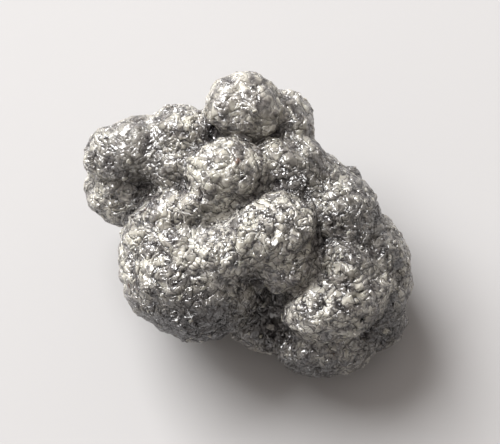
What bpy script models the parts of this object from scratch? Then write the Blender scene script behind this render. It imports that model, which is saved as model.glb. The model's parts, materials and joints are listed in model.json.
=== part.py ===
"""Rough diamond: one lumpy grey stone of many small crystals grown together, lying on a cleavage flat.

Run it with blender --background --python part.py, or from Blender's text editor.
The frame is metres with +Z up. The origin is under the middle of the stone, on the surface it lies on.

The stone is shaped as its broad side is seen: x across, y along and z out of that side. It is then
tipped back by LIE_TILT, which is how it lies, and its underside is cut off where the cleavage flat is.
"""

import math
import random

import bmesh
import bpy
import numpy as np
from mathutils import Euler, Matrix, Vector

NAME = "rough_diamond"

# Sizes and places are in millimetres: the finished stone is brought to metres at the end, because
# Blender's own limits for thinning and cutting a mesh are too coarse for one built at true size.
MM = 0.001

# How the stone lies: the tilt of its broad side from level, and the height of the flat in the lain stone.
LIE_TILT = math.radians(15)
FLAT_HEIGHT = -3.8

# The grown lobes: centre, half sizes, and turn in degrees about the axis out of the broad side. The
# core is kept low, so that the creases between the lobes stay deep.
LOBES = {
    "core": ((0.3, -0.4, -1.6), (4.8, 3.5, 2.5), -38),
    "knob": ((0.05, 4.4, 1.2), (1.4, 1.18, 1.35), -5),
    "knob_side": ((1.8, 4.0, 0.4), (0.8, 1.1, 1.1), 25),
    "knob_root": ((-1.1, 3.2, 0.3), (1.2, 0.9, 1.1), 0),
    "knob_neck": ((0.8, 2.9, -0.3), (2.05, 1.5, 1.5), -20),
    "arm_end": ((-4.85, 2.55, 0.3), (1.1, 1.0, 1.2), 0),
    "arm_middle": ((-3.95, 2.85, 0.6), (1.25, 1.15, 1.3), 20),
    "arm_root": ((-2.4, 3.4, 0.8), (1.25, 1.05, 1.3), 0),
    "arm_front": ((-2.7, 2.3, 1.1), (0.95, 1.1, 1.0), 0),
    "arm_low": ((-4.65, 1.3, -0.7), (1.25, 1.35, 1.3), 31),
    "arm_pit": ((-3.6, 1.3, -0.7), (1.1, 1.1, 1.2), 0),
    "middle": ((-0.6, 1.95, 1.9), (1.6, 1.2, 1.4), 10),
    "waist": ((0.0, 1.0, 0.9), (2.6, 1.2, 1.4), 15),
    "middle_side": ((1.6, 2.0, 0.7), (1.6, 1.4, 1.4), -30),
    "left": ((-1.9, -1.55, 0.3), (2.65, 2.95, 2.5), 37),
    "left_ridge": ((-2.1, 0.5, 1.6), (1.7, 0.8, 1.1), 10),
    "left_belly": ((-0.9, -1.2, 1.9), (1.9, 1.1, 1.3), 15),
    "left_shoulder": ((-3.35, -0.6, 0.9), (1.1, 1.5, 1.2), -15),
    "heart": ((1.0, -0.3, 2.2), (1.8, 1.3, 1.4), 25),
    "heart_low": ((1.5, -1.3, 1.5), (1.3, 1.2, 1.2), 0),
    "right": ((3.6, 0.35, 0.2), (1.5, 1.9, 1.9), 31),
    "right_top": ((2.65, 1.65, 0.3), (1.2, 1.15, 1.4), 0),
    "right_rim": ((5.15, -1.1, -0.5), (1.05, 1.6, 1.6), 22),
    "foot": ((3.6, -2.8, 0.6), (2.1, 1.5, 1.9), 25),
    "foot_back": ((3.8, -1.5, 0.9), (1.2, 1.1, 1.5), 0),
    "foot_ridge": ((2.7, -3.1, 1.4), (1.3, 0.75, 1.0), 30),
    "foot_rim": ((5.3, -2.7, -0.6), (0.9, 1.3, 1.4), 0),
    "foot_corner": ((4.95, -3.75, -1.1), (1.15, 1.1, 1.2), 0),
    "toe": ((3.1, -4.6, -0.7), (1.85, 1.15, 1.5), 5),
    "toe_side": ((0.6, -3.85, -1.1), (1.2, 0.9, 1.2), -25),
    "under_left": ((-2.4, -1.2, -1.8), (2.1, 1.9, 1.6), 0),
    "under_arm": ((-2.6, 2.0, -1.2), (2.0, 1.6, 1.5), -30),
    "under_middle": ((0.4, 0.4, -2.4), (2.2, 2.1, 1.7), 0),
    "under_foot": ((2.6, -2.2, -2.4), (2.0, 1.8, 1.6), -20),
    "under_right": ((3.1, 0.8, -1.7), (1.7, 1.6, 1.4), 0),
}

# The swellings that break up the lobes, and the crystal grains that stand out of both: spacing,
# least and most radius, least and most share of the radius that is sunk in, and roundness, which is
# 1 for a lump of twenty sides and one more for each time that its sides are divided.
SWELLINGS = {"spacing": 1.35, "radius": (0.75, 1.15), "sunk": (0.86, 0.95), "roundness": 3}
GRAINS = {"spacing": 0.66, "radius": (0.38, 0.56), "sunk": (0.68, 0.88), "roundness": 2}
STRETCH = (0.9, 1.12)
TRIES = 9000
SEED = 12

# How finely the lobes and what grows on them are fused, and how many faces the finished stone has.
LOBE_VOXEL = 0.13
LOBE_SMOOTHING = 5
SWELLING_SMOOTHING = 4
GRAIN_VOXEL = 0.075
GRAIN_SMOOTHING = 1
TRIANGLES = 9200

# The stone's look: a grey of many dark inclusions, with the gloss of a high refractive index.
COLOUR = (0.235, 0.225, 0.205, 1.0)
ROUGHNESS = 0.3
DIAMOND_IOR = 2.42


def clear_scene():
    for obj in list(bpy.data.objects):
        bpy.data.objects.remove(obj)


def new_collection(name):
    collection = bpy.data.collections.new(name)
    bpy.context.scene.collection.children.link(collection)
    return collection


def diamond_material():
    material = bpy.data.materials.new("grey_rough_diamond")
    material.use_nodes = True
    shader = material.node_tree.nodes["Principled BSDF"]
    shader.inputs["Base Color"].default_value = COLOUR
    shader.inputs["Roughness"].default_value = ROUGHNESS
    shader.inputs["Metallic"].default_value = 0.0
    shader.inputs["IOR"].default_value = DIAMOND_IOR
    return material


def new_object(name, bm, collection):
    mesh = bpy.data.meshes.new(name)
    bm.to_mesh(mesh)
    bm.free()
    obj = bpy.data.objects.new(name, mesh)
    collection.objects.link(obj)
    return obj


def with_modifiers_applied(obj):
    """Gives the object the mesh that its modifiers make of it, and drops the modifiers."""
    bpy.context.view_layer.update()
    evaluated = obj.evaluated_get(bpy.context.evaluated_depsgraph_get())
    mesh = bpy.data.meshes.new_from_object(evaluated)
    obj.modifiers.clear()
    obj.data = mesh


def fuse(obj, voxel, smoothing):
    remesh = obj.modifiers.new("Fuse", "REMESH")
    remesh.mode = "VOXEL"
    remesh.voxel_size = voxel
    smooth = obj.modifiers.new("Soften", "SMOOTH")
    smooth.factor = 0.5
    smooth.iterations = smoothing
    with_modifiers_applied(obj)


def grown_lobes(collection):
    """The lobes as one fused body, lain down by the stone's tilt."""
    bm = bmesh.new()
    lie = Matrix.Rotation(LIE_TILT, 4, "X")
    for centre, half_sizes, turn in LOBES.values():
        place = Matrix.LocRotScale(
            Vector(centre), Euler((0, 0, math.radians(turn))), Vector(half_sizes)
        )
        bmesh.ops.create_icosphere(bm, subdivisions=4, radius=1.0, matrix=lie @ place)
    stone = new_object(NAME, bm, collection)
    fuse(stone, LOBE_VOXEL, LOBE_SMOOTHING)
    return stone


def spread_points(mesh, spacing, draw):
    """Points on the mesh with their normals, evenly spread and no nearer each other than the spacing."""
    mesh.calc_loop_triangles()
    corners = np.array([[mesh.vertices[i].co for i in t.vertices] for t in mesh.loop_triangles])
    normals = np.array([t.normal for t in mesh.loop_triangles])
    areas = np.cumsum([t.area for t in mesh.loop_triangles])
    kept, kept_normals = [], []
    for _ in range(TRIES):
        face = min(int(np.searchsorted(areas, draw.random() * areas[-1])), len(areas) - 1)
        a, b = sorted((draw.random(), draw.random()))
        point = corners[face].T @ np.array([a, b - a, 1 - b])
        if kept and np.min(np.sum((np.array(kept) - point) ** 2, axis=1)) < spacing**2:
            continue
        kept.append(point)
        kept_normals.append(normals[face])
    return list(zip(kept, kept_normals))


def grow(stone, form, voxel, smoothing, draw):
    """Lumps of one form over the whole stone, each turned its own way and sunk part way in."""
    bm = bmesh.new()
    bm.from_mesh(stone.data)
    for point, normal in spread_points(stone.data, form["spacing"], draw):
        radius = draw.uniform(*form["radius"])
        centre = Vector(point) - Vector(normal) * radius * draw.uniform(*form["sunk"])
        turn = Euler([draw.uniform(0, math.tau) for _ in range(3)])
        stretch = Vector([radius * draw.uniform(*STRETCH) for _ in range(3)])
        place = Matrix.LocRotScale(centre, turn, stretch)
        bmesh.ops.create_icosphere(bm, subdivisions=form["roundness"], radius=1.0, matrix=place)
    bm.to_mesh(stone.data)
    bm.free()
    fuse(stone, voxel, smoothing)


def thin_out(stone):
    """Fewer, larger faces, which keep the grains' edges and turn their sides into flat crystal faces."""
    stone.data.calc_loop_triangles()
    thin = stone.modifiers.new("Thin", "DECIMATE")
    thin.ratio = TRIANGLES / len(stone.data.loop_triangles)
    thin.use_collapse_triangulate = True
    with_modifiers_applied(stone)


def cut_cleavage_flat(stone, cutters):
    """Cuts the underside off level, as rough diamond breaks along a flat cleavage plane."""
    depth, width = 6, 30
    bm = bmesh.new()
    bmesh.ops.create_cube(bm, size=1.0, matrix=Matrix.LocRotScale(
        Vector((0, 0, FLAT_HEIGHT - depth / 2)), None, Vector((width, width, depth))
    ))
    cutter = new_object("cleavage_cutter", bm, cutters)
    cutter.hide_render = True
    cutter.display_type = "WIRE"
    cut = stone.modifiers.new("Cleave", "BOOLEAN")
    cut.operation = "DIFFERENCE"
    cut.object = cutter
    with_modifiers_applied(stone)
    bpy.data.objects.remove(cutter)


def stand_on_origin(stone):
    """Brings the mesh to metres, with the origin under its middle, on the surface that it lies on."""
    points = np.array([v.co for v in stone.data.vertices])
    low, high = points.min(axis=0), points.max(axis=0)
    middle = (low + high) / 2
    to_origin = Matrix.Translation((-middle[0], -middle[1], -low[2]))
    stone.data.transform(Matrix.Scale(MM, 4) @ to_origin)


def main():
    clear_scene()
    stones, cutters = new_collection("Rough diamond"), new_collection("Cutters")
    draw = random.Random(SEED)
    stone = grown_lobes(stones)
    grow(stone, SWELLINGS, LOBE_VOXEL, SWELLING_SMOOTHING, draw)
    grow(stone, GRAINS, GRAIN_VOXEL, GRAIN_SMOOTHING, draw)
    thin_out(stone)
    cut_cleavage_flat(stone, cutters)
    stand_on_origin(stone)
    stone.data.materials.clear()
    stone.data.materials.append(diamond_material())


main()
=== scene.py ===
"""Rough diamond: the crystal surface of a grey, lumpy, uncut stone, its finish and the studio around it.

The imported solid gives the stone's place, size and lumps. A finer skin is made on a copy of it, and
coarse crystals of several habits stand out of that skin in patches. Meshes are worked in millimetres
and brought to metres when they are done, because merging and remeshing suit things of that size.
"""

import json
import math

import bmesh
import bpy
import numpy as np
from bpy.props import FloatProperty, FloatVectorProperty, IntProperty, PointerProperty
from mathutils import Matrix, Vector

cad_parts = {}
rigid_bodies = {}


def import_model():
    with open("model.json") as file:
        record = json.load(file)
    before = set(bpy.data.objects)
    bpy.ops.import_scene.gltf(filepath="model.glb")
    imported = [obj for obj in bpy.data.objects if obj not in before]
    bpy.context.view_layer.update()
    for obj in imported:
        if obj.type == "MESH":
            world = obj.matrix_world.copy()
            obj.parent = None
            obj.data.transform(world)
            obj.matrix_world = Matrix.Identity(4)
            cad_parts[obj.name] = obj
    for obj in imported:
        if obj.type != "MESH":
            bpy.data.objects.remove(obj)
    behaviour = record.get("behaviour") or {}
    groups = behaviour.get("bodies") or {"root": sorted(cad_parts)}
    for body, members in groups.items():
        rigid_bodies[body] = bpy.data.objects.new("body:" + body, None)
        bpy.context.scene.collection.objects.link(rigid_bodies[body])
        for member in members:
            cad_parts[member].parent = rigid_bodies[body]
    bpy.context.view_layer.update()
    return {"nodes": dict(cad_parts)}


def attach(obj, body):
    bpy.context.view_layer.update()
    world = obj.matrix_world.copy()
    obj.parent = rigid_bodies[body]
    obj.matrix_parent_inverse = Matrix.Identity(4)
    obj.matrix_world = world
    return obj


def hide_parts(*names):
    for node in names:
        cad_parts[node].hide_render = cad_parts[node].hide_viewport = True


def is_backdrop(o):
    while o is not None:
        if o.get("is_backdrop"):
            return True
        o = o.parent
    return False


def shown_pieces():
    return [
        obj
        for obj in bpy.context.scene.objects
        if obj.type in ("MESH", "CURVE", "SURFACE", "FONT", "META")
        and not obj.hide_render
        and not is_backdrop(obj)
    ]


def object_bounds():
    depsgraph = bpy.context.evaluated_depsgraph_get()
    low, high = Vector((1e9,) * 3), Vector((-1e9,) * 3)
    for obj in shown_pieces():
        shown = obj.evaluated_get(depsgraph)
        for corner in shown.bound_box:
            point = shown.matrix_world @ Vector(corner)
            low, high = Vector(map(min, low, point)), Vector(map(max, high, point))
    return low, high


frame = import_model()

bl_info = {
    "name": "Rough diamond",
    "version": (1, 0, 0),
    "blender": (4, 5, 0),
    "location": "View3D > Sidebar > Rough diamond",
    "description": "Grows a lumpy grey rough diamond of many small crystals, and lights it",
    "category": "Add Mesh",
}

NODE = "rough_diamond"
BODY = "root"
MM = 0.001

# The skin before its relief is raised: how near two corners are to be made one, in millimetres, and
# how many times it is softened.
MERGE_DISTANCE = 0.001
SKIN_SOFTENING = 14

# The waves that bend the worm-like forms: their width and how far they move a place, in millimetres.
PUFF_WAVE = (0.32, 0.26)

# The skin's relief: the width in millimetres of the growth waves that bend its lumps, crystals and
# wrinkles, the turn of the crystals in radians, and the middle value of each form. It is taken off, so
# that the form raises the skin in one place by about as much as it sinks it in another.
GROWTH_WAVE_WIDTH = 0.625
CRYSTAL_TURN = (0.5, 0.3, 0.9)
MIDDLES = {"Puff": 0.25, "Lump": 0.45, "Crystal": 0.6, "Wrinkle": 0.1}

# How many times each place is moved to the mean of its neighbours, for the evened skin that tells a
# bulge from a hollow.
EVENING_STEPS = 400

# The coarse crystals that stand out of the skin, in millimetres: how far apart they are, their least
# and most radius, the share of it that is sunk in, the width of the patches that they grow in, and how
# full the bare patches are.
COARSE_CRYSTALS = {
    "Spacing": 0.5, "Least Radius": 0.14, "Most Radius": 0.24, "Sunk": 0.97, "Patch Size": 1.6,
    "Patch Cover": 0.2,
}

# How they grow: the noise values between which a bare patch turns full, the most to a square
# millimetre, which is more than their spacing has room for, the power that makes small ones the common
# ones, how far each is drawn out or pressed in along an axis, and what seeds each random choice.
PATCH_EDGE = (0.42, 0.58)
MOST_CRYSTALS = 400.0
SMALL_ONES = 1.8
STRETCH = (0.85, 1.15)
SEEDS = {"habit": 3, "turn": 5, "stretch": 11, "tone": 17}

# Their habits: how many faces each has, how far a face's direction is nudged, how far the faces are
# from the crystal's middle as a share of its radius, and what the nudges are seeded with.
HABIT_FACES = (13, 14, 15, 16, 17, 18, 20)
FACE_NUDGE = 0.2
FACE_DEPTHS = (0.9, 1.06)
HABIT_SEED = 4

# What is the same all over the diamond: how strongly it bends light, and the light that scatters a
# seventh of a millimetre deep in it.
DIAMOND = {
    "IOR": 2.15, "Subsurface Weight": 1.0, "Subsurface Radius": (1.0, 0.95, 0.9),
    "Subsurface Scale": 0.14 * MM,
}

# Its least and most roughness, on the coarse crystals, which are etched, and on the skin. It changes in
# patches of that many millimetres, between those values of their noise.
CRYSTAL_ROUGHNESS = (0.12, 0.35)
SKIN_ROUGHNESS = (0.03, 0.2)
WEAR_WIDTH = 1.1
WEAR_EDGE = (0.35, 0.65)

# The puffed, worm-like forms in the finish: their mean width and how far they stand out of the creases
# between them, in millimetres. The wider ones are also in the skin's mesh, which is too coarse for the
# sharp bottom of their creases, and the narrower ones are too small to model.
PUFFS = ((0.5, 0.058), (0.24, 0.032))

# The height of a puff from which it is flat-topped, and the heights at which the painted shade in a
# crease starts and is darkest.
PUFF_TOP = 0.25
CREASE_SHADE_EDGE = (0.1, 0.01)

# The crystal faces among them: mean width in millimetres, and the most that a face is tipped along each
# axis, as a tangent. Most are hardly tipped, and a few are tipped far and flash on their own.
FACETS = ((0.5, 0.42), (0.22, 0.62), (0.11, 0.38))

# Where the surface is frosted. Each of these zones, and of the next two groups, has a centre and a radius
# in millimetres, and a share, which is how strong the zone is at its middle.
FROSTED_ZONES = {
    "knob": ((-0.1, 4.1, 6.6), 2.6, 1.0),
    "middle": ((-0.75, 1.55, 7.0), 1.9, 0.7),
    "arm": ((-4.4, 2.9, 5.6), 2.4, 0.9),
    "beside_knob": ((2.0, 2.6, 5.6), 1.8, 0.7),
}

# Painted highlights: zones whose colour is turned towards near-white where the surface faces the
# softbox, and where the painted shade of the hollows is lifted.
PAINTED_HIGHLIGHT_ZONES = {
    "foot_ridge": ((2.4, -3.6, 5.0), 1.5, 0.6),
    "left_belly": ((-1.2, -2.2, 6.0), 1.4, 0.5),
    "left_ridge": ((-1.8, -0.9, 6.2), 1.3, 0.3),
    "saddle": ((-0.6, -0.2, 5.9), 1.5, 0.7),
    "heart": ((1.0, -0.4, 6.8), 1.3, 0.2),
}

# Painted shade: zones whose colour is turned dark, on the flanks turned from the softbox, in creases,
# at the back and underneath.
PAINTED_SHADE_ZONES = {
    "front_of_left_lobe": ((-2.2, -5.2, 3.6), 4.3, 1.0),
    "right_side": ((4.2, -0.2, 5.0), 2.6, 0.65),
    "behind_heart": ((2.1, 1.5, 5.8), 1.9, 0.55),
    "arm": ((-4.3, 2.1, 6.0), 2.4, 0.6),
    "toe": ((2.0, -5.6, 2.0), 2.4, 0.9),
    "foot_crease": ((0.9, -3.8, 3.2), 1.8, 0.9),
    "foot_rim": ((5.0, -3.4, 2.6), 2.0, 0.7),
    "behind_arm": ((-4.2, 4.4, 3.2), 2.6, 0.6),
    "behind_knob": ((0.6, 5.4, 4.2), 2.4, 0.5),
    "back_of_right": ((4.0, 3.6, 2.6), 3.0, 0.6),
    "underside": ((0.0, 0.0, -0.5), 4.5, 0.6),
}

# The share of a zone's radius in which it is full, and the waves that make its edge uneven: their width
# and how far they move a place, in millimetres.
ZONE_CORE = 0.35
ZONE_WAVE = (0.9, 0.8)

# How much fainter the creases and faces are where it is fully frosted, and how much rougher it is.
FROST = (0.38, 0.08)

# The clouds of pale and dark in the coarse crystals, to which each crystal adds a tone of its own, and
# in the skin: their width in millimetres, and the values at which they start to turn pale or dark and
# have turned. The crystals of the highest tones are rust-stained.
CRYSTAL_CLOUD_WIDTH = 1.6
CRYSTAL_PALE = (0.85, 1.5)
CRYSTAL_DARK = (0.95, 0.55)
RUSTY_TONE = 0.985
SKIN_CLOUD_WIDTH = 0.55
SKIN_PALE = (0.4, 0.7)
SKIN_DARK = (0.5, 0.25)

# Painted shade in the skin's creases, by its relief, and in the hollows between the lobes, by how far
# in millimetres they bulge: where it starts, where it is fullest, and its share there.
SKIN_CREASE_SHADE = (-0.5, -1.0, 0.8)
SKIN_HOLLOW_SHADE = (0.08, -0.22, 0.75)

# The stage: half the floor's side in metres, its roughness, which way the softbox is, and the room's
# linear colour. Then which way the room is brightest, the cosine of the angle from there and from the
# other side at which its light starts to change, and the share by which it is brighter and dimmer.
FLOOR_HALF = 0.6
PAPER_ROUGHNESS = 0.9
SOFTBOX_SIDE = (-0.62, 0.72, 0.78)
ROOM_COLOUR = (1.0, 0.92, 0.87, 1.0)
ROOM_LIGHT_SIDE = (-0.45, 0.75, 0.3)
ROOM_EDGE = 0.8
ROOM_CONTRAST = 0.66

# The camera: lens and sensor width in millimetres, the nearest that it sees in metres, and how many
# times it is moved to fit the stone to the photograph.
LENS = 270
SENSOR_WIDTH = 36
NEAREST_SEEN = 0.005
FIT_ROUNDS = 6

# The photograph's frame in pixels, and the stone's rectangle in it: left, top, right and bottom.
PHOTO = (500, 444)
STONE_IN_PHOTO = (83, 71, 414, 378)


def linear(hex_colour):
    """An sRGB hex colour as linear values."""
    channels = [int(hex_colour[i:i + 2], 16) / 255 for i in (0, 2, 4)]
    return [c / 12.92 if c <= 0.04045 else ((c + 0.055) / 1.055) ** 2.4 for c in channels] + [1.0]


def colour_property(name, description, hex_colour):
    return FloatVectorProperty(
        name=name, description=description, subtype="COLOR", size=4, min=0, max=1,
        default=linear(hex_colour),
    )


def length_property(name, description, millimetres):
    return FloatProperty(
        name=name, description=description, subtype="DISTANCE", unit="LENGTH", min=0, precision=5,
        default=millimetres * MM,
    )


class RoughDiamondForm(bpy.types.PropertyGroup):
    """Sizes of the stone's surface."""

    skin_grain: length_property("Skin grain", "Edge length of the skin's faces", 0.073)
    lump_size: length_property("Lump size", "Mean width of the round lumps in the skin", 0.7)
    lump_height: length_property("Lump height", "How far the round lumps stand out", 0.1)
    crystal_size: length_property("Crystal size", "Mean width of the crystals in the skin", 0.42)
    crystal_height: length_property("Crystal height", "How far the crystals stand out", 0.06)
    wrinkle_size: length_property("Wrinkle size", "Mean width of the fine wrinkles", 0.2)
    wrinkle_height: length_property("Wrinkle height", "How deep the fine wrinkles are", 0.04)
    swell: length_property("Swell", "How far the skin is brought out, to make up for softening", 0.06)
    puff_size: length_property("Puff size", "Mean width of the worm-like forms in the skin", 0.5)
    puff_height: length_property("Puff height", "How far the worm-like forms stand out", 0.075)
    wave: length_property("Wave", "How far the growth waves bend the forms in the skin", 0.35)
    floor_gap: length_property("Floor gap", "Height below which no coarse crystal grows", 0.32)
    seed: IntProperty(name="Seed", description="Changes where the coarse crystals grow", default=7)


class RoughDiamondColours(bpy.types.PropertyGroup):
    """Colours of the stone and the floor."""

    # Near-white for the painted highlights in the highlight zones.
    clear: colour_property("Clear crystal", "The clearest crystals, in the clear zones", "e8e5dc")
    pale: colour_property("Pale crystal", "The common pale crystals", "bdbaae")
    grey: colour_property("Grey crystal", "The common grey of the stone", "96928c")
    # Also the painted shade in the skin's hollows and in the shade zones.
    dark: colour_property("Dark crystal", "Crystals full of dark inclusions", "2c282b")
    # Painted shade in the creases between the worm-like forms and in the creases of the relief.
    gap: colour_property("Gaps", "The matter between the crystals", "262325")
    rust: colour_property("Rust", "The rare iron-stained crystals", "6f5a4e")
    paper: colour_property("Floor", "The pale floor", "a9a8a8")


class RoughDiamondStudio(bpy.types.PropertyGroup):
    """The camera's place and the strength of the lights."""

    elevation: FloatProperty(
        name="Camera elevation", description="Angle of the camera above the floor",
        subtype="ANGLE", unit="ROTATION", default=math.radians(75),
    )
    distance: length_property("Camera distance", "From the stone to the camera", 160)
    key_size: length_property("Softbox size", "Side of the square softbox", 265)
    key_distance: length_property("Softbox distance", "From the stone to the softbox", 350)
    key_power: FloatProperty(
        name="Softbox power", description="Power of the softbox", unit="POWER", default=3.4
    )
    fill: FloatProperty(name="Fill", description="Strength of the light from all round", default=0.45)


def add_node(tree, kind, inputs=None, **settings):
    """Adds a node, with its settings by name, and its inputs by name or number as values or links.

    A single number for an input of three values goes to all three.
    """
    node = tree.nodes.new(kind)
    for name, value in settings.items():
        setattr(node, name, value)
    for name, value in (inputs or {}).items():
        socket = node.inputs[name]
        if isinstance(value, bpy.types.NodeSocket):
            tree.links.new(value, socket)
        elif socket.type == "VECTOR" and isinstance(value, (int, float)):
            socket.default_value = (value,) * 3
        else:
            socket.default_value = value
    return node


def new_tree(name, inputs):
    """A geometry tree with a mesh in, a mesh out and the named inputs; gives it and what it is given."""
    tree = bpy.data.node_groups.new(name, "GeometryNodeTree")
    tree.interface.new_socket("Geometry", in_out="INPUT", socket_type="NodeSocketGeometry")
    tree.interface.new_socket("Geometry", in_out="OUTPUT", socket_type="NodeSocketGeometry")
    for label, kind in inputs.items():
        tree.interface.new_socket(label, in_out="INPUT", socket_type="NodeSocket" + kind)
    return tree, tree.nodes.new("NodeGroupInput").outputs


def put_through(obj, tree, values):
    """Runs the object through the tree, with the named inputs set, and keeps the plain mesh."""
    grow = obj.modifiers.new(tree.name, "NODES")
    grow.node_group = tree
    for item in tree.interface.items_tree:
        if item.in_out == "INPUT" and item.name in values:
            grow[item.identifier] = values[item.name]
    keep_result(obj)


def keep_result(obj):
    """Gives the object the mesh that its modifiers make, and drops the modifiers."""
    bpy.context.view_layer.update()
    evaluated = obj.evaluated_get(bpy.context.evaluated_depsgraph_get())
    mesh = bpy.data.meshes.new_from_object(evaluated)
    obj.modifiers.clear()
    obj.data = mesh


def mesh_of(bm, name):
    """The drawn shape as a mesh of that name; the drawing is freed."""
    mesh = bpy.data.meshes.new(name)
    bm.to_mesh(mesh)
    bm.free()
    return mesh


def new_piece(name, mesh):
    piece = bpy.data.objects.new(name, mesh)
    bpy.context.scene.collection.objects.link(piece)
    return piece


def hand_over(piece, material):
    """Brings a finished piece from millimetres to metres, and lets it ride on the stone's body."""
    piece.data.transform(Matrix.Scale(MM, 4))
    piece.data.materials.clear()
    piece.data.materials.append(material)
    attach(piece, BODY)


def lift_above_floor(mesh):
    """Keeps the mesh out of the floor, and its underside as flat as the cleavage that it lies on."""
    points = np.empty(len(mesh.vertices) * 3)
    mesh.vertices.foreach_get("co", points)
    points = points.reshape(-1, 3)
    np.maximum(points[:, 2], 0, out=points[:, 2])
    mesh.vertices.foreach_set("co", points.ravel())


def per_metre(millimetres):
    """The scale of a texture on Object coordinates whose features are that many millimetres wide."""
    return 1 / (millimetres * MM)


def scale_of(tree, width):
    """The scale of a texture in a geometry tree whose features have the width that it is given."""
    return add_node(tree, "ShaderNodeMath", {0: 1.0, 1: width}, operation="DIVIDE").outputs[0]


def waved(tree, place, scale, shift, detail=2.0):
    """Places moved about by a smooth noise of that scale, by up to half the shift each way."""
    noise = add_node(tree, "ShaderNodeTexNoise", {"Vector": place, "Scale": scale, "Detail": detail})
    centred = add_node(
        tree, "ShaderNodeVectorMath", {0: noise.outputs["Color"], 1: 0.5}, operation="SUBTRACT"
    ).outputs[0]
    return add_node(
        tree, "ShaderNodeVectorMath", {0: centred, 1: shift, 2: place}, operation="MULTIPLY_ADD"
    ).outputs[0]


def puffs(tree, place, scale):
    """Puffed, worm-like forms with narrow creases between them: 0 in a crease, up to about 0.6 on top."""
    noise = add_node(tree, "ShaderNodeTexNoise", {
        "Vector": place, "Scale": scale, "Detail": 0.0, "Distortion": 0.6,
    }).outputs[0]
    aside = add_node(
        tree, "ShaderNodeMath", {0: noise, 1: 2.0, 2: -1.0}, operation="MULTIPLY_ADD"
    ).outputs[0]
    return add_node(tree, "ShaderNodeMath", {0: aside}, operation="ABSOLUTE").outputs[0]


def skin_forms(tree, given, place):
    """The lumps, crystals and wrinkles of the skin's relief, each by its name in the tree's inputs.

    For the crystals, the distance to the nearest cell point, measured along three axes, is a landscape
    of joined octahedra: flat faces that meet in ridges and creases. A wave in the places bends them.
    """
    bent = waved(tree, place, 1 / GROWTH_WAVE_WIDTH, given["Wave"], detail=1.0)
    lump = add_node(tree, "ShaderNodeTexVoronoi", {
        "Vector": bent, "Scale": scale_of(tree, given["Lump Size"]), "Smoothness": 0.35,
    }, feature="SMOOTH_F1").outputs["Distance"]
    turned = add_node(
        tree, "ShaderNodeVectorRotate", {"Vector": bent, "Rotation": CRYSTAL_TURN},
        rotation_type="EULER_XYZ",
    ).outputs[0]
    crystal = add_node(tree, "ShaderNodeTexVoronoi", {
        "Vector": turned, "Scale": scale_of(tree, given["Crystal Size"]),
    }, distance="MANHATTAN").outputs["Distance"]
    streak = add_node(tree, "ShaderNodeTexNoise", {
        "Vector": bent, "Scale": scale_of(tree, given["Wrinkle Size"]), "Detail": 1.0, "Distortion": 1.2,
    }).outputs[0]
    aside = add_node(tree, "ShaderNodeMath", {0: streak, 1: 0.5}, operation="SUBTRACT").outputs[0]
    wrinkle = add_node(tree, "ShaderNodeMath", {0: aside}, operation="ABSOLUTE").outputs[0]
    return {"Lump": lump, "Crystal": crystal, "Wrinkle": wrinkle}


def bulge_of(tree, place, normal):
    """How far each place of the skin stands out of the evened skin, along its own direction."""
    evened = add_node(tree, "GeometryNodeBlurAttribute", {
        "Value": place, "Iterations": EVENING_STEPS,
    }, data_type="FLOAT_VECTOR").outputs[0]
    aside = add_node(
        tree, "ShaderNodeVectorMath", {0: place, 1: evened}, operation="SUBTRACT"
    ).outputs[0]
    return add_node(
        tree, "ShaderNodeVectorMath", {0: aside, 1: normal}, operation="DOT_PRODUCT"
    ).outputs["Value"]


def relief_tree():
    """The skin's relief: worm-like puffs, round lumps, flat-faced crystals and fine wrinkles.

    It marks each point of the skin with its height in the relief, its bulge and where it was before.
    """
    tree, given = new_tree("Crystal relief", {
        "Lump Size": "Float", "Lump Height": "Float", "Crystal Size": "Float", "Crystal Height": "Float",
        "Wrinkle Size": "Float", "Wrinkle Height": "Float", "Puff Size": "Float", "Puff Height": "Float",
        "Swell": "Float", "Wave": "Float",
    })
    place = add_node(tree, "GeometryNodeInputPosition").outputs[0]
    normal = add_node(tree, "GeometryNodeInputNormal").outputs[0]
    puff = puffs(
        tree, waved(tree, place, 1 / PUFF_WAVE[0], PUFF_WAVE[1]), scale_of(tree, given["Puff Size"])
    )
    out = add_node(tree, "ShaderNodeMath", {0: puff, 1: MIDDLES["Puff"]}, operation="SUBTRACT").outputs[0]
    lift = add_node(tree, "ShaderNodeMath", {
        0: out, 1: given["Puff Height"], 2: given["Swell"],
    }, operation="MULTIPLY_ADD").outputs[0]
    height = 0.0
    for name, form in skin_forms(tree, given, place).items():
        out = add_node(
            tree, "ShaderNodeMath", {0: MIDDLES[name], 1: form}, operation="SUBTRACT"
        ).outputs[0]
        lift = add_node(tree, "ShaderNodeMath", {
            0: out, 1: given[name + " Height"], 2: lift,
        }, operation="MULTIPLY_ADD").outputs[0]
        height = add_node(tree, "ShaderNodeMath", {0: out, 1: height}, operation="ADD").outputs[0]
    marked = given["Geometry"]
    for name, value, kind in (
        ("height", height, "FLOAT"), ("bulge", bulge_of(tree, place, normal), "FLOAT"),
        ("grown_at", place, "FLOAT_VECTOR"),
    ):
        marked = add_node(tree, "GeometryNodeStoreNamedAttribute", {
            "Geometry": marked, "Name": name, "Value": value,
        }, data_type=kind, domain="POINT").outputs[0]
    offset = add_node(
        tree, "ShaderNodeVectorMath", {0: normal, "Scale": lift}, operation="SCALE"
    ).outputs[0]
    moved = add_node(tree, "GeometryNodeSetPosition", {"Geometry": marked, "Offset": offset}).outputs[0]
    add_node(tree, "NodeGroupOutput", {"Geometry": moved})
    return tree


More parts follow.
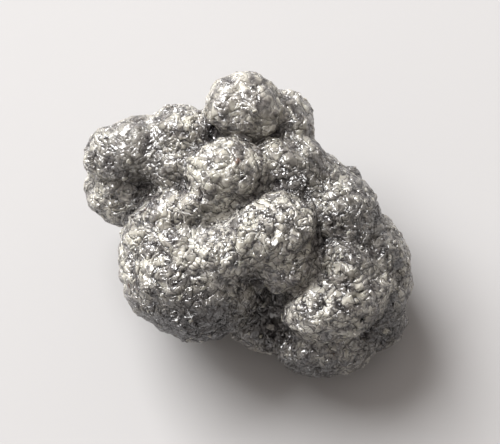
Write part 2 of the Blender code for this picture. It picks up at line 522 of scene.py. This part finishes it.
def growing_places(tree, given):
    """Points spread over the surface in patches, none of them near the floor, and their directions."""
    place = add_node(tree, "GeometryNodeInputPosition").outputs[0]
    patches = add_node(tree, "ShaderNodeTexNoise", {
        "Vector": place, "Scale": scale_of(tree, given["Patch Size"]), "Detail": 1.0,
    }).outputs[0]
    cover = add_node(tree, "ShaderNodeMapRange", {
        "Value": patches, "From Min": PATCH_EDGE[0], "From Max": PATCH_EDGE[1],
        "To Min": given["Patch Cover"],
    }).outputs[0]
    spread = add_node(tree, "GeometryNodeDistributePointsOnFaces", {
        "Mesh": given["Geometry"], "Distance Min": given["Spacing"], "Density Max": MOST_CRYSTALS,
        "Density Factor": cover, "Seed": given["Seed"],
    }, distribute_method="POISSON").outputs
    height = add_node(tree, "ShaderNodeSeparateXYZ", {0: place}).outputs["Z"]
    low = add_node(tree, "FunctionNodeCompare", {
        0: height, 1: given["Floor Gap"],
    }, data_type="FLOAT", operation="LESS_THAN").outputs[0]
    clear = add_node(tree, "GeometryNodeDeleteGeometry", {
        "Geometry": spread["Points"], "Selection": low,
    }, domain="POINT").outputs[0]
    return clear, spread["Normal"]


def growth_tree():
    """Crystals of several habits over a surface, each with its own turn, size, depth and tone."""
    tree, given = new_tree("Crystal growth", {
        "Habits": "Collection", "Habit Count": "Int", "Spacing": "Float", "Least Radius": "Float",
        "Most Radius": "Float", "Sunk": "Float", "Patch Size": "Float", "Patch Cover": "Float",
        "Floor Gap": "Float", "Seed": "Int", "Material": "Material",
    })
    points, direction = growing_places(tree, given)
    chance = add_node(
        tree, "FunctionNodeRandomValue", {"Seed": given["Seed"]}, data_type="FLOAT"
    ).outputs[1]
    small = add_node(tree, "ShaderNodeMath", {0: chance, 1: SMALL_ONES}, operation="POWER").outputs[0]
    radius = add_node(tree, "ShaderNodeMapRange", {
        "Value": small, "To Min": given["Least Radius"], "To Max": given["Most Radius"],
    }).outputs[0]
    depth = add_node(
        tree, "ShaderNodeMath", {0: radius, 1: given["Sunk"]}, operation="MULTIPLY"
    ).outputs[0]
    down = add_node(tree, "ShaderNodeMath", {0: depth, 1: -1.0}, operation="MULTIPLY").outputs[0]
    into = add_node(
        tree, "ShaderNodeVectorMath", {0: direction, "Scale": down}, operation="SCALE"
    ).outputs[0]
    sunk = add_node(tree, "GeometryNodeSetPosition", {"Geometry": points, "Offset": into}).outputs[0]

    habits = add_node(tree, "GeometryNodeCollectionInfo", {
        "Collection": given["Habits"], "Separate Children": True, "Reset Children": True,
    }).outputs[0]
    last = add_node(
        tree, "ShaderNodeMath", {0: given["Habit Count"], 1: 1.0}, operation="SUBTRACT"
    ).outputs[0]
    habit = add_node(
        tree, "FunctionNodeRandomValue", {4: 0, 5: last, "Seed": SEEDS["habit"]}, data_type="INT"
    ).outputs[2]
    turn = add_node(tree, "FunctionNodeRandomValue", {
        0: 0, 1: math.tau, "Seed": SEEDS["turn"],
    }, data_type="FLOAT_VECTOR").outputs[0]
    stretch = add_node(tree, "FunctionNodeRandomValue", {
        0: STRETCH[0], 1: STRETCH[1], "Seed": SEEDS["stretch"],
    }, data_type="FLOAT_VECTOR").outputs[0]
    size = add_node(
        tree, "ShaderNodeVectorMath", {0: stretch, "Scale": radius}, operation="SCALE"
    ).outputs[0]
    grown = add_node(tree, "GeometryNodeInstanceOnPoints", {
        "Points": sunk, "Instance": habits, "Pick Instance": True, "Instance Index": habit,
        "Rotation": turn, "Scale": size,
    }).outputs[0]
    tone = add_node(
        tree, "FunctionNodeRandomValue", {"Seed": SEEDS["tone"]}, data_type="FLOAT"
    ).outputs[1]
    toned = add_node(tree, "GeometryNodeStoreNamedAttribute", {
        "Geometry": grown, "Name": "tone", "Value": tone,
    }, data_type="FLOAT", domain="INSTANCE").outputs[0]
    real = add_node(tree, "GeometryNodeRealizeInstances", {"Geometry": toned}).outputs[0]
    finished = add_node(tree, "GeometryNodeSetMaterial", {
        "Geometry": real, "Material": given["Material"],
    }).outputs[0]
    add_node(tree, "NodeGroupOutput", {"Geometry": finished})
    return tree


def crystal_form(sides, draw):
    """A closed form of that many uneven flat faces, rounded all over, as a partly dissolved crystal is.

    The faces' directions follow an even spiral, nudged. Their hull is turned inside out by duality:
    each of its faces gives a corner of the crystal, and each of its corners a face.
    """
    bm = bmesh.new()
    for i in range(sides):
        height = 1 - (2 * i + 1) / sides
        angle = i * math.pi * (3 - math.sqrt(5))
        wide = math.sqrt(1 - height**2)
        direction = Vector((wide * math.cos(angle), wide * math.sin(angle), height))
        direction += Vector(draw.uniform(-FACE_NUDGE, FACE_NUDGE, 3))
        bm.verts.new(direction.normalized() / draw.uniform(*FACE_DEPTHS))
    bmesh.ops.convex_hull(bm, input=bm.verts)
    corners = [f.normal / f.normal.dot(f.verts[0].co) for f in bm.faces]
    bm.clear()
    for corner in corners:
        bm.verts.new(corner)
    bmesh.ops.convex_hull(bm, input=bm.verts)
    bmesh.ops.recalc_face_normals(bm, faces=bm.faces)
    return bm


def crystal_habits():
    """Small flat-faced crystals of several forms, in a collection that the growth tree picks from."""
    draw = np.random.default_rng(HABIT_SEED)
    collection = bpy.data.collections.new("Crystal habits")
    for number, sides in enumerate(HABIT_FACES):
        name = f"crystal_{number}_of_{sides}_faces"
        mesh = mesh_of(crystal_form(sides, draw), name)
        collection.objects.link(bpy.data.objects.new(name, mesh))
    return collection


def object_place(tree):
    return add_node(tree, "ShaderNodeTexCoord").outputs["Object"]


def grown_place(tree):
    """Where each part of the skin was before its relief was raised, in metres, as Object coordinates."""
    place = add_node(tree, "ShaderNodeAttribute", attribute_name="grown_at").outputs["Vector"]
    return add_node(tree, "ShaderNodeVectorMath", {0: place, "Scale": MM}, operation="SCALE").outputs[0]


def zone_share(tree, place, zones):
    """How far into the zones a place is: each zone's own share at its middle, and none outside it."""
    bent = waved(tree, place, per_metre(ZONE_WAVE[0]), ZONE_WAVE[1] * MM)
    most = 0.0
    for centre, radius, share in zones.values():
        away = add_node(tree, "ShaderNodeVectorMath", {
            0: bent, 1: [c * MM for c in centre],
        }, operation="DISTANCE").outputs["Value"]
        zone = add_node(tree, "ShaderNodeMapRange", {
            "Value": away, "From Min": ZONE_CORE * radius * MM, "From Max": radius * MM,
            "To Min": share, "To Max": 0.0,
        }, interpolation_type="SMOOTHSTEP").outputs[0]
        most = add_node(tree, "ShaderNodeMath", {0: most, 1: zone}, operation="MAXIMUM").outputs[0]
    return most


def layered(tree, colour, layers):
    """The colour with others laid over it in turn, each by its own share from 0 to 1."""
    for share, over in layers:
        colour = add_node(
            tree, "ShaderNodeMix", {0: share, 6: colour, 7: over}, data_type="RGBA"
        ).outputs[2]
    return colour


def pale_and_dark(tree, clouds, *edges):
    """How far the clouds have turned pale, and how far dark, from 0 to 1 between each pair of values."""
    return [
        add_node(tree, "ShaderNodeMapRange", {
            "Value": clouds, "From Min": start, "From Max": end,
        }).outputs[0]
        for start, end in edges
    ]


def crystal_base(tree, place, colours):
    """Crystals from pale to dark by their own tone, in clouded patches, with a few rust-stained ones."""
    tone = add_node(tree, "ShaderNodeAttribute", attribute_name="tone").outputs["Fac"]
    cloud = add_node(tree, "ShaderNodeTexNoise", {
        "Vector": place, "Scale": per_metre(CRYSTAL_CLOUD_WIDTH), "Detail": 3.0,
    }).outputs[0]
    clouded = add_node(tree, "ShaderNodeMath", {0: tone, 1: cloud}, operation="ADD").outputs[0]
    to_pale, to_dark = pale_and_dark(tree, clouded, CRYSTAL_PALE, CRYSTAL_DARK)
    rusty = add_node(
        tree, "ShaderNodeMath", {0: tone, 1: RUSTY_TONE}, operation="GREATER_THAN"
    ).outputs[0]
    return layered(tree, colours.grey, (
        (to_pale, colours.pale), (to_dark, colours.dark), (rusty, colours.rust),
    ))


def skin_base(tree, place, colours):
    """The crystals grown into each other: clouded from grey to pale, with painted highlights in some
    zones, and painted shade in others, in the hollows between the lobes and in the creases."""
    cloud = add_node(tree, "ShaderNodeTexNoise", {
        "Vector": place, "Scale": per_metre(SKIN_CLOUD_WIDTH), "Detail": 2.0, "Distortion": 0.7,
    }).outputs[0]
    to_pale, to_dark = pale_and_dark(tree, cloud, SKIN_PALE, SKIN_DARK)
    # Painted shade: darker in the creases of the relief and in the hollows between the lobes.
    crease, painted_shade = [
        add_node(tree, "ShaderNodeMapRange", {
            "Value": add_node(tree, "ShaderNodeAttribute", attribute_name=mark).outputs["Fac"],
            "From Min": start, "From Max": end, "To Max": share,
        }).outputs[0]
        for mark, (start, end, share) in (("height", SKIN_CREASE_SHADE), ("bulge", SKIN_HOLLOW_SHADE))
    ]
    # Painted highlights: near-white in the highlight zones, where the hollows' painted shade is lifted.
    clear = zone_share(tree, place, PAINTED_HIGHLIGHT_ZONES)
    outside_highlight = add_node(tree, "ShaderNodeMath", {0: 1.0, 1: clear}, operation="SUBTRACT").outputs[0]
    # Painted shade: the hollows' shade and the shade zones, darkest where either is.
    for operation, other in (("MULTIPLY", outside_highlight), ("MAXIMUM", zone_share(tree, place, PAINTED_SHADE_ZONES))):
        painted_shade = add_node(tree, "ShaderNodeMath", {0: painted_shade, 1: other}, operation=operation).outputs[0]
    return layered(tree, colours.grey, (
        (to_pale, colours.pale), (clear, colours.clear), (to_dark, colours.dark),
        (painted_shade, colours.dark), (crease, colours.gap),
    ))


def faceted_normal(tree, place, share):
    """The surface's direction with flat crystal faces in it, each tipped its own way by that share."""
    normal = add_node(tree, "ShaderNodeNewGeometry").outputs["Normal"]
    for width, tip in FACETS:
        face = add_node(
            tree, "ShaderNodeTexVoronoi", {"Vector": place, "Scale": per_metre(width)}
        ).outputs["Color"]
        aside = add_node(
            tree, "ShaderNodeVectorMath", {0: face, 1: 2, 2: -1}, operation="MULTIPLY_ADD"
        ).outputs[0]
        cube = aside
        for _ in range(2):
            cube = add_node(
                tree, "ShaderNodeVectorMath", {0: cube, 1: aside}, operation="MULTIPLY"
            ).outputs[0]
        tipped = add_node(
            tree, "ShaderNodeVectorMath", {0: cube, "Scale": share}, operation="SCALE"
        ).outputs[0]
        normal = add_node(
            tree, "ShaderNodeVectorMath", {0: tipped, 1: tip, 2: normal}, operation="MULTIPLY_ADD"
        ).outputs[0]
    return add_node(tree, "ShaderNodeVectorMath", {0: normal}, operation="NORMALIZE").outputs[0]


def puffed_relief(tree, place):
    """The worm-like forms as a height in millimetres, and how near each place is to their creases."""
    relief, apart = 0.0, 1.0
    for width, height in PUFFS:
        puff = puffs(tree, place, per_metre(width))
        flat_topped = add_node(
            tree, "ShaderNodeMapRange", {"Value": puff, "From Max": PUFF_TOP},
            interpolation_type="SMOOTHSTEP",
        ).outputs[0]
        relief = add_node(
            tree, "ShaderNodeMath", {0: flat_topped, 1: height, 2: relief}, operation="MULTIPLY_ADD"
        ).outputs[0]
        apart = add_node(tree, "ShaderNodeMath", {0: puff, 1: apart}, operation="MINIMUM").outputs[0]
    return relief, apart


def diamond_material(name, colours, base_of, place_of, roughness):
    """Uncut diamond, as it grew. It bends light so strongly that even its grey surface flashes white
    where it faces a light. Its worm-like forms and crystal faces too small to model each catch a glint
    of their own, the creases between them have painted shade, and where it is frosted all of this is
    fainter."""
    material = bpy.data.materials.new(name)
    material.use_nodes = True
    tree = material.node_tree
    shader = tree.nodes["Principled BSDF"]
    for label, value in DIAMOND.items():
        shader.inputs[label].default_value = value
    place = place_of(tree)
    bent = waved(tree, place, per_metre(PUFF_WAVE[0]), PUFF_WAVE[1] * MM)
    relief, apart = puffed_relief(tree, bent)
    fainter, rougher = FROST
    frost = zone_share(tree, place, FROSTED_ZONES)
    faint = add_node(
        tree, "ShaderNodeMath", {0: frost, 1: -fainter, 2: 1.0}, operation="MULTIPLY_ADD"
    ).outputs[0]
    # Painted shade: the colour darkens towards the creases between the worm-like forms, less where
    # frosted.
    crease = add_node(tree, "ShaderNodeMapRange", {
        "Value": apart, "From Min": CREASE_SHADE_EDGE[0], "From Max": CREASE_SHADE_EDGE[1], "To Max": faint,
    }).outputs[0]
    wear = add_node(tree, "ShaderNodeTexNoise", {
        "Vector": place, "Scale": per_metre(WEAR_WIDTH), "Detail": 1.0,
    }).outputs[0]
    matt = add_node(tree, "ShaderNodeMapRange", {
        "Value": wear, "From Min": WEAR_EDGE[0], "From Max": WEAR_EDGE[1],
        "To Min": roughness[0], "To Max": roughness[1],
    }).outputs[0]
    frosted = add_node(
        tree, "ShaderNodeMath", {0: frost, 1: rougher, 2: matt}, operation="MULTIPLY_ADD"
    ).outputs[0]
    bump = add_node(tree, "ShaderNodeBump", {
        "Strength": faint, "Distance": MM, "Height": relief,
        "Normal": faceted_normal(tree, bent, faint),
    }).outputs[0]
    # The painted shade of the creases, laid over the base colour.
    base = layered(tree, base_of(tree, place, colours), ((crease, colours.gap),))
    for label, value in (("Base Color", base), ("Roughness", frosted), ("Normal", bump)):
        tree.links.new(value, shader.inputs[label])
    return material


class GrowSkin(bpy.types.Operator):
    """Make the stone's fine skin on a copy of the solid"""

    bl_idname = "rough_diamond.grow_skin"
    bl_label = "Grow skin"

    def execute(self, context):
        form = context.scene.rough_diamond_form
        bm = bmesh.new()
        bm.from_mesh(frame["nodes"][NODE].data)
        bmesh.ops.scale(bm, vec=Vector((1, 1, 1)) / MM, verts=bm.verts)
        bmesh.ops.remove_doubles(bm, verts=bm.verts, dist=MERGE_DISTANCE)
        skin = new_piece("stone_skin", mesh_of(bm, "stone_skin"))
        remesh = skin.modifiers.new("Fine faces", "REMESH")
        remesh.mode = "VOXEL"
        remesh.voxel_size = form.skin_grain / MM
        soften = skin.modifiers.new("Soften", "SMOOTH")
        soften.iterations = SKIN_SOFTENING
        keep_result(skin)
        put_through(skin, relief_tree(), {
            "Lump Size": form.lump_size / MM, "Lump Height": form.lump_height / MM,
            "Crystal Size": form.crystal_size / MM, "Crystal Height": form.crystal_height / MM,
            "Wrinkle Size": form.wrinkle_size / MM, "Wrinkle Height": form.wrinkle_height / MM,
            "Puff Size": form.puff_size / MM, "Puff Height": form.puff_height / MM,
            "Swell": form.swell / MM, "Wave": form.wave / MM,
        })
        lift_above_floor(skin.data)
        skin.data.shade_smooth()
        return {"FINISHED"}


class GrowCrystals(bpy.types.Operator):
    """Grow the coarse crystals that stand out of the skin"""

    bl_idname = "rough_diamond.grow_crystals"
    bl_label = "Grow crystals"

    def execute(self, context):
        form, colours = context.scene.rough_diamond_form, context.scene.rough_diamond_colours
        skin = bpy.data.objects["stone_skin"]
        habits = crystal_habits()
        material = diamond_material(
            "uncut_grey_diamond", colours, crystal_base, object_place, CRYSTAL_ROUGHNESS
        )
        crystals = new_piece("coarse_crystals", skin.data.copy())
        put_through(crystals, growth_tree(), {
            **COARSE_CRYSTALS, "Habits": habits, "Habit Count": len(habits.objects),
            "Floor Gap": form.floor_gap / MM, "Seed": form.seed, "Material": material,
        })
        hand_over(crystals, material)
        hand_over(skin, diamond_material(
            "grown_together_diamond", colours, skin_base, grown_place, SKIN_ROUGHNESS
        ))
        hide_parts(NODE)
        for habit in list(habits.objects):
            bpy.data.objects.remove(habit)
        bpy.data.collections.remove(habits)
        return {"FINISHED"}


def look_at(obj, away, distance, target):
    """Puts a camera or light at a distance from the target, in the direction away from it, facing it."""
    away = away.normalized()
    obj.location = target + away * distance
    obj.rotation_euler = away.to_track_quat("Z", "Y").to_euler()


def fit_to_photo(camera, points):
    """Moves the camera until the points' outline has the stone's width and middle in the photograph."""
    left, top, right, bottom = STONE_IN_PHOTO
    for _ in range(FIT_ROUNDS):
        turn = np.array(camera.rotation_euler.to_matrix())
        seen = (points - np.array(camera.location)) @ turn
        focal = camera.data.lens / camera.data.sensor_width * PHOTO[0]
        across = seen[:, 0] / -seen[:, 2] * focal + PHOTO[0] / 2
        down = PHOTO[1] / 2 - seen[:, 1] / -seen[:, 2] * focal
        depth = -seen[:, 2].mean()
        to_metres = depth / focal
        wide = across.max() - across.min()
        right_by = ((across.max() + across.min()) / 2 - (left + right) / 2) * to_metres
        up_by = ((top + bottom) / 2 - (down.max() + down.min()) / 2) * to_metres
        forward = depth * (1 - wide / (right - left))
        camera.location += Vector(turn @ np.array((right_by, up_by, -forward)))


class SetStage(bpy.types.Operator):
    """Set the pale floor, the soft studio light and the camera"""

    bl_idname = "rough_diamond.set_stage"
    bl_label = "Set stage"

    def execute(self, context):
        scene = context.scene
        studio = scene.rough_diamond_studio
        self.floor(scene.rough_diamond_colours)
        low, high = (Vector(c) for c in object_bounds())
        middle = (low + high) / 2
        self.softbox(scene, studio, middle)
        self.room(scene, studio)
        self.camera(scene, studio, middle)
        scene.view_settings.view_transform = "Standard"
        return {"FINISHED"}

    def floor(self, colours):
        """White paper, uncoated: so matt that it shows the stone's soft shadow and no reflection."""
        bm = bmesh.new()
        bmesh.ops.create_grid(bm, x_segments=1, y_segments=1, size=FLOOR_HALF)
        mesh = mesh_of(bm, "paper_floor")
        material = bpy.data.materials.new("white_paper")
        material.use_nodes = True
        shader = material.node_tree.nodes["Principled BSDF"]
        shader.inputs["Base Color"].default_value = colours.paper
        shader.inputs["Roughness"].default_value = PAPER_ROUGHNESS
        mesh.materials.append(material)
        new_piece("paper_floor", mesh)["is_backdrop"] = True

    def softbox(self, scene, studio, middle):
        key = bpy.data.lights.new("softbox", "AREA")
        key.shape = "SQUARE"
        key.size = studio.key_size
        key.energy = studio.key_power
        softbox = bpy.data.objects.new("softbox", key)
        scene.collection.objects.link(softbox)
        look_at(softbox, Vector(SOFTBOX_SIDE), studio.key_distance, middle)

    def room(self, scene, studio):
        """The light from all round: brighter on the softbox's side, and dim on the side facing it."""
        world = bpy.data.worlds.new("room_light")
        world.use_nodes = True
        tree = world.node_tree
        direction = add_node(tree, "ShaderNodeTexCoord").outputs["Generated"]
        facing = add_node(tree, "ShaderNodeVectorMath", {
            0: direction, 1: Vector(ROOM_LIGHT_SIDE).normalized(),
        }, operation="DOT_PRODUCT").outputs["Value"]
        strength = add_node(tree, "ShaderNodeMapRange", {
            "Value": facing, "From Min": -ROOM_EDGE, "From Max": ROOM_EDGE,
            "To Min": studio.fill * (1 - ROOM_CONTRAST), "To Max": studio.fill * (1 + ROOM_CONTRAST),
        }).outputs[0]
        sky = tree.nodes["Background"]
        sky.inputs["Color"].default_value = ROOM_COLOUR
        tree.links.new(strength, sky.inputs["Strength"])
        scene.world = world

    def camera(self, scene, studio, middle):
        data = bpy.data.cameras.new("camera")
        data.lens = LENS
        data.sensor_width = SENSOR_WIDTH
        data.clip_start = NEAREST_SEEN
        camera = bpy.data.objects.new("camera", data)
        scene.collection.objects.link(camera)
        away = Vector((0, -math.cos(studio.elevation), math.sin(studio.elevation)))
        look_at(camera, away, studio.distance, middle)
        points = np.concatenate([
            np.array([v.co for v in o.data.vertices]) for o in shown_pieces() if o.type == "MESH"
        ])
        fit_to_photo(camera, points)
        scene.camera = camera


class RoughDiamondPanel(bpy.types.Panel):
    """The steps that make the stone, and its settings"""

    bl_idname = "VIEW3D_PT_rough_diamond"
    bl_label = "Rough diamond"
    bl_space_type = "VIEW_3D"
    bl_region_type = "UI"
    bl_category = "Rough diamond"

    def draw(self, context):
        for step in STEPS:
            self.layout.operator(step.bl_idname)
        for name in SETTINGS:
            settings = getattr(context.scene, name)
            for setting in type(settings).__annotations__:
                self.layout.prop(settings, setting)


STEPS = (GrowSkin, GrowCrystals, SetStage)
SETTINGS = {
    "rough_diamond_form": RoughDiamondForm,
    "rough_diamond_colours": RoughDiamondColours,
    "rough_diamond_studio": RoughDiamondStudio,
}


def register():
    for group in SETTINGS.values():
        bpy.utils.register_class(group)
    for step in (*STEPS, RoughDiamondPanel):
        bpy.utils.register_class(step)
    for name, group in SETTINGS.items():
        setattr(bpy.types.Scene, name, PointerProperty(type=group))


def unregister():
    for name in SETTINGS:
        delattr(bpy.types.Scene, name)
    for step in (*STEPS, RoughDiamondPanel, *SETTINGS.values()):
        bpy.utils.unregister_class(step)


def main():
    register()
    bpy.ops.rough_diamond.grow_skin()
    bpy.ops.rough_diamond.grow_crystals()
    bpy.ops.rough_diamond.set_stage()


if __name__ == "__main__":
    main()
